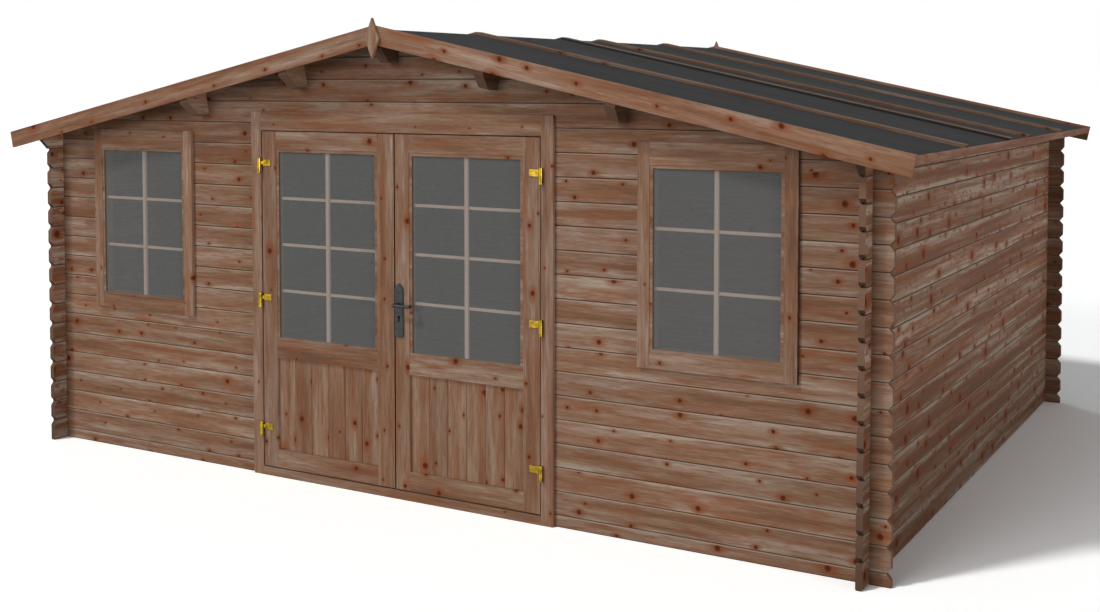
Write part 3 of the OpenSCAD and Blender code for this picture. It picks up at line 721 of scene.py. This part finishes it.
def heads(places, size, cross):
    """Domed heads, with a cross recess for screws; each place is a point and the way it faces."""
    profile = [head_ring(r, h, cross) for r, h in DOME + (CROSS_RECESS if cross else NAIL_TOP)]

    def make(bm):
        for point, facing in places:
            turn = Vector((0, 0, 1)).rotation_difference(Vector(facing)).to_matrix().to_4x4()
            stand = Matrix.Translation(point) @ turn
            rings = [[bm.verts.new(stand @ (spot * size)) for spot in spots] for spots in profile]
            for under, over in zip(rings, rings[1:]):
                for i in range(HEAD_SIDES):
                    j = (i + 1) % HEAD_SIDES
                    bm.faces.new((under[i], under[j], over[j], over[i]))
            bm.faces.new(rings[0][::-1])
            bm.faces.new(rings[-1])

    return make


def hinge_screws(node):
    """Three screws in each strap of a leaf's hinges."""
    points = node_points(node)
    tail = min(abs(p.x) for p in points)
    ends = [p for p in points if abs(abs(p.x) - tail) < SAME_PLACE]
    side = math.copysign(1, ends[0].x)
    face = min(p.y for p in ends)
    levels = sorted({round(p.z, 5) for p in ends})
    places = []
    for low, high in zip(levels[::2], levels[1::2]):
        middle = (low + high) / 2
        lift = (high - low) / 4
        for along, up in ((STRAP_PAIR, lift), (STRAP_PAIR, -lift), (STRAP_SINGLE, 0)):
            places.append(((side * (tail + along), face, middle + up), (0, -1, 0)))
    return places


def plate_screws(node, x, spindle_z):
    """Two screws in the outer and the inner lock plate, above the lever and below the keyhole."""
    low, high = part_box(node)
    places = []
    for z in (spindle_z + PLATE_SCREW_UP, low.z + PLATE_SCREW_FOOT):
        places.append(((x, low.y, z), (0, -1, 0)))
        places.append(((x, high.y, z), (0, 1, 0)))
    return places


def plug_outline():
    """Outline of a lock cylinder: a round head and a narrower foot."""
    gap = math.asin(PLUG_SLOT / PLUG_RADIUS)
    start = gap - math.pi / 2
    turn = math.tau - 2 * gap
    ring = [start + turn * i / PLUG_SIDES for i in range(PLUG_SIDES + 1)]
    head = [(math.cos(a) * PLUG_RADIUS, math.sin(a) * PLUG_RADIUS) for a in ring]
    foot = [math.pi + math.pi * i / PLUG_FOOT_SIDES for i in range(PLUG_FOOT_SIDES + 1)]
    bottom = PLUG_SLOT - PLUG_FOOT
    return head + [(math.cos(a) * PLUG_SLOT, bottom + math.sin(a) * PLUG_SLOT) for a in foot]


def half_disc(side):
    """Outline of the disc on one side of the key slot."""
    limit = math.asin(KEY_SLOT / DISC_RADIUS)
    turn = math.pi - 2 * limit
    ring = [limit + turn * i / PLUG_SIDES - math.pi / 2 for i in range(PLUG_SIDES + 1)]
    return [(side * math.cos(a) * DISC_RADIUS, math.sin(a) * DISC_RADIUS) for a in ring]


def lock_plugs(node, x, z):
    """A lock cylinder in the keyhole of each plate, with a disc that the key slot cuts in two."""
    low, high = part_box(node)

    def extrude(bm, shape, y0, y1):
        prism(bm, [(x + a, y0, z + b) for a, b in shape], [(x + a, y1, z + b) for a, b in shape])

    def make(bm):
        for face, into in ((low.y, 1), (high.y, -1)):
            extrude(bm, plug_outline(), face + into * PLUG_SUNK, face + into * (PLATE_THICK - FIT))
            for side in (-1, 1):
                extrude(bm, half_disc(side), face + into * DISC_SUNK[0], face + into * DISC_SUNK[1])

    return make


def batten_faces(node):
    """End faces of a slope's battens from front to rear: ridge foot, ridge top, eave foot, eave top."""
    faces = {}
    for point in node_points(node):
        place = tuple(round(c, 5) for c in point)
        faces.setdefault(place[1], set()).add(place)
    found = []
    for y in sorted(faces):
        corners = sorted(faces[y], key=lambda p: abs(p[0]))
        ridge = sorted(corners[:2], key=lambda p: p[2])
        eave = sorted(corners[2:], key=lambda p: p[2])
        found.append([Vector(p) for p in ridge + eave])
    return found


def batten_shadow_fillet(node, index):
    """Black fillet along the foot of one batten's front: a painted shadow of the gap under the batten."""
    ridge_foot, ridge_top, eave_foot, eave_top = batten_faces(node)[2 * index]
    forward = Vector((0, -FILLET_WIDTH, 0))
    down = Vector((0, 0, -FIT))
    bulge_up, bulge_out = FILLET_BULGE

    def section(foot, top):
        bulge = foot.lerp(top, bulge_up) + forward * bulge_out
        return [foot + down + forward, foot + down, foot.lerp(top, FILLET_TOP), bulge]

    return lambda bm: prism(bm, section(ridge_foot, ridge_top), section(eave_foot, eave_top))


def batten_nails(node):
    """Nails down the middle of every batten."""
    faces = batten_faces(node)
    places = []
    for front, back in zip(faces[::2], faces[1::2]):
        ridge = (front[1] + back[1]) / 2
        eave = (front[3] + back[3]) / 2
        slope = (eave - ridge).normalized()
        facing = slope.cross(Vector((0, 1, 0)))
        facing = facing if facing.z > 0 else -facing
        for i in range(BATTEN_NAILS):
            places.append((ridge.lerp(eave, (i + FIRST_NAIL) / BATTEN_NAILS), facing))
    return places


def barge_nails(node, face_y, facing):
    """Pairs of nails along both bargeboards of a gable."""
    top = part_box(node)[1].z
    places = []
    for out in BARGE_NAILS_OUT:
        for drop in BARGE_NAILS_DOWN:
            z = top - out * math.tan(ROOF_PITCH) - drop
            places += [((side * out, face_y, z), (0, facing, 0)) for side in (-1, 1)]
    return places


def finial_nails(node, face_y, facing):
    """Two nails in a finial, one above the other."""
    low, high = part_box(node)
    middle = (low.z + high.z) / 2
    return [((0, face_y, middle + up), (0, facing, 0)) for up in (-FINIAL_NAIL, FINIAL_NAIL)]


# Wood for every timber node


def set_material(names, material):
    for name in names:
        slots = nodes[name].data.materials
        slots.clear()
        slots.append(material)


GABLE_LOGS = ("z", LOG_PITCH, 0.5)
SIDE_LOGS = ("z", LOG_PITCH, 0.0)

set_material(["front_wall_left", "front_wall_right", "front_gable"],
             timber("front_logs", "x", seed=3.0, boards=GABLE_LOGS, knots=0.85, grow=1.25, flecks=0.4,
                    is_log=True))
set_material(["rear_wall"],
             timber("rear_logs", "x", seed=57.0, boards=GABLE_LOGS, knots=0.85, grow=1.25, flecks=0.4,
                    is_log=True))
# Side logs: deeper painted shade in the joints, and darker towards the ground
set_material(["left_wall", "right_wall"],
             timber("side_logs", "y", seed=11.0, boards=SIDE_LOGS, hands=True, knots=0.85, grow=2.1,
                    length=2.5, contrast=2.1, flecks=0.75, low_darkening=0.38, is_log=True, joint_shade_depth=0.85))
set_material(["ridge_purlin", "left_purlins", "right_purlins"],
             timber("purlin_wood", "y", seed=71.0, boards=("x", 0.35, 0.5), tint=(0.90, 0.88, 0.86, 1)))
set_material(["front_bargeboards"],
             timber("front_barge_wood", "slope", seed=83.0, hands=True, knots=0.8, grow=1.6,
                    tint=(1.09, 1.02, 0.99, 1)))
set_material(["rear_bargeboards"],
             timber("rear_barge_wood", "slope", seed=89.0, hands=True, knots=0.8, grow=1.6,
                    tint=(1.05, 0.98, 0.95, 1)))
set_material(["front_finial", "rear_finial"], timber("finial_wood", "z", seed=97.0, knots=0.2))
set_material(["eave_fascias"],
             timber("fascia_wood", "y", seed=101.0, hands=True, tint=(0.83, 0.67, 0.61, 1)))
set_material(["left_battens", "right_battens"],
             timber("batten_wood", "slope", seed=107.0, boards=("y", 0.5, 0.2), hands=True,
                    tint=(0.62, 0.65, 0.68, 1)))
set_material(["floor_bearers"], timber("bearer_wood", "y", seed=113.0, boards=("x", 0.3, 0.5)))
set_material(["door_jambs", "door_stops"],
             timber("jamb_wood", "z", seed=127.0, hands=True, tint=(1.10, 1.18, 1.26, 1)))
set_material(["door_head", "threshold"], timber("head_wood", "x", seed=131.0, boards=("z", 1.0, 0.0)))

panel_low, panel_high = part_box("right_leaf_panel")
leaf_rails = (panel_low.x - FIT, panel_high.x + FIT)
set_material(["left_leaf_frame", "right_leaf_frame", "left_leaf_beads", "right_leaf_beads"],
             timber("leaf_wood", seed=139.0, rails=leaf_rails, hands=True, knots=0.8, grow=1.25))
sash_low, sash_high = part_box("right_window_beads")
set_material(["left_window_frame", "right_window_frame", "left_window_beads", "right_window_beads"],
             timber("window_wood", seed=149.0, rails=(sash_low.x, sash_high.x), hands=True))

# Finishes of the other nodes

brass = metal("hinge_brass", BRASS, 0.34, 1.0)
iron = metal("black_iron", BLACK_IRON, 0.46, 0.2, gloss=0.3)
set_material(["left_felt", "right_felt"], roofing_felt())
set_material([name for name in nodes if name.endswith("_glass")], pane())
set_material(["frame_hinges", "left_leaf_hinges", "right_leaf_hinges"], brass)
set_material(["lock_plates", "lever"], iron)

# Pieces that the frame leaves to the looks

bar_wood = timber("bar_wood", seed=151.0, rails=(0.0, 0.0), hands=True, knots=0.05, wash=0.85)
# Black for the painted shadow along a batten
fillet_black = shadow_black()
for side in ("left", "right"):
    for part, body, rows in (("leaf", f"{side}_door", LEAF_ROWS), ("window", "cabin", WINDOW_ROWS)):
        opening = clear_opening(f"{side}_{part}_beads")
        pane_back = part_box(f"{side}_{part}_glass")[1].y
        bars = glazing_bars(opening, pane_back, rows)
        new_piece(f"{side}_{part}_bars", bars, bar_wood, body)

    panel = f"{side}_leaf_panel"
    panel_low, panel_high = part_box(panel)
    panel_cut = board_cut("x", panel_low.x, panel_high.x, PANEL_BOARDS)
    panel_wood = timber(f"{side}_panel_wood", "z", seed=157.0, boards=panel_cut, knots=0.85, grow=1.5,
                        bevel=0.0008)
    boards = new_piece(f"{side}_panel_boards", panel_boards(panel), panel_wood, f"{side}_door")
    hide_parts(panel)

    roof = f"{side}_roof_boards"
    roof_low, roof_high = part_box(roof)
    roof_cut = board_cut("y", roof_low.y, roof_high.y, board_count(roof_low.y, roof_high.y, ROOF_BOARD))
    roof_wood = timber(f"{side}_roof_wood", "slope", seed=163.0, boards=roof_cut, hands=True, paint=1.15)
    deck = new_piece(f"{side}_roof_deck", roof_deck(roof), roof_wood, "cabin")
    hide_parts(roof)

    strap_screws = heads(hinge_screws(f"{side}_leaf_hinges"), SCREW_RADIUS, True)
    new_piece(f"{side}_hinge_screws", strap_screws, brass, f"{side}_door")
    # Painted shadow along the foot of the second batten on each slope
    new_piece(f"{side}_batten_shadow_fillet", batten_shadow_fillet(f"{side}_battens", 1), fillet_black, "cabin")

floor_low, floor_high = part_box("floor_boards")
floor_cut = board_cut("y", floor_low.y, floor_high.y, board_count(floor_low.y, floor_high.y, FLOOR_BOARD))
floor_wood = timber("floor_wood", "x", seed=173.0, boards=floor_cut, paint=1.3)
floor_piece = new_piece("floor_deck", floor_deck("floor_boards"), floor_wood, "cabin")
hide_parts("floor_boards")

turning = next(joint for joint in frame["joints"] if joint["child"] == "lever")
lock_x, _, spindle_z = turning["pos_m"]
plug_black = metal("lock_black", LOCK_BLACK, 0.6, 0.0, gloss=0.05)
plugs = lock_plugs("lock_plates", lock_x, spindle_z - KEYHOLE_DROP)
new_piece("lock_plugs", plugs, plug_black, "right_door")
lock_screws = heads(plate_screws("lock_plates", lock_x, spindle_z), SCREW_RADIUS, True)
new_piece("plate_screws", lock_screws, iron, "right_door")

nail_steel = metal("nail_steel", NAIL_STEEL, 0.5, 0.6, bevel=0.0005)
nails = batten_nails("left_battens") + batten_nails("right_battens")
nails += barge_nails("front_bargeboards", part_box("front_bargeboards")[0].y, -1)
nails += barge_nails("rear_bargeboards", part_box("rear_bargeboards")[1].y, 1)
nails += finial_nails("front_finial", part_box("front_finial")[0].y, -1)
nails += finial_nails("rear_finial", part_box("rear_finial")[1].y, 1)
new_piece("roof_nails", heads(nails, NAIL_RADIUS, False), nail_steel, "cabin")


# Studio


def shadow_floor():
    """Pale ground that shows white and keeps the shadow."""
    g = new_graph("studio_floor")
    colour = g.mix(g.shown(), GROUND_LIT, GROUND_SHOWN)
    shader = g.add("ShaderNodeBsdfDiffuse", {"Color": colour})
    return g.finish(shader.outputs[0])


def far_lamp(name, turn, height, level, width):
    """Parallel light from one side."""
    lamp = bpy.data.objects.new(name, bpy.data.lights.new(name, "SUN"))
    lamp.data.energy = level
    lamp.data.angle = width
    lamp.data.color = LAMP_COLOUR
    across = math.cos(height)
    towards = Vector((-math.sin(turn) * across, math.cos(turn) * across, -math.sin(height)))
    lamp.rotation_euler = towards.to_track_quat("-Z", "Y").to_euler()
    bpy.context.scene.collection.objects.link(lamp)


def studio_sky():
    """Even pale light from all round, shown as white."""
    world = bpy.data.worlds.new("studio_sky")
    bpy.context.scene.world = world
    g = Graph(world)
    light = g.add("ShaderNodeBackground", {"Color": WHITE, "Strength": SKY_LEVEL})
    white = g.add("ShaderNodeBackground", {"Color": WHITE, "Strength": 1.0})
    either = g.add("ShaderNodeMixShader", {0: g.shown(), 1: light.outputs[0], 2: white.outputs[0]})
    g.add("ShaderNodeOutputWorld", {"Surface": either.outputs[0]})


def photo_camera():
    camera = bpy.data.objects.new("photo_camera", bpy.data.cameras.new("photo_camera"))
    camera.location = CAMERA_PLACE
    camera.rotation_euler = (math.pi / 2 + CAMERA_TILT, 0, CAMERA_TURN)
    camera.data.sensor_fit = "HORIZONTAL"
    camera.data.sensor_width = CAMERA_SENSOR
    camera.data.lens = CAMERA_LENS
    camera.data.shift_y = CAMERA_DROP
    camera.data.clip_end = CAMERA_REACH
    bpy.context.scene.collection.objects.link(camera)
    bpy.context.scene.camera = camera


bpy.ops.mesh.primitive_plane_add(size=GROUND_SIZE, location=(0, 0, 0))
ground = bpy.context.object
ground.name = "studio_floor"
ground.data.materials.append(shadow_floor())
far_lamp("key_light", *KEY_LIGHT)
far_lamp("front_fill", *FRONT_FILL)
far_lamp("right_fill", *RIGHT_FILL)
far_lamp("back_fill", *BACK_FILL)
studio_sky()
photo_camera()
bpy.context.scene.view_settings.view_transform = "Standard"
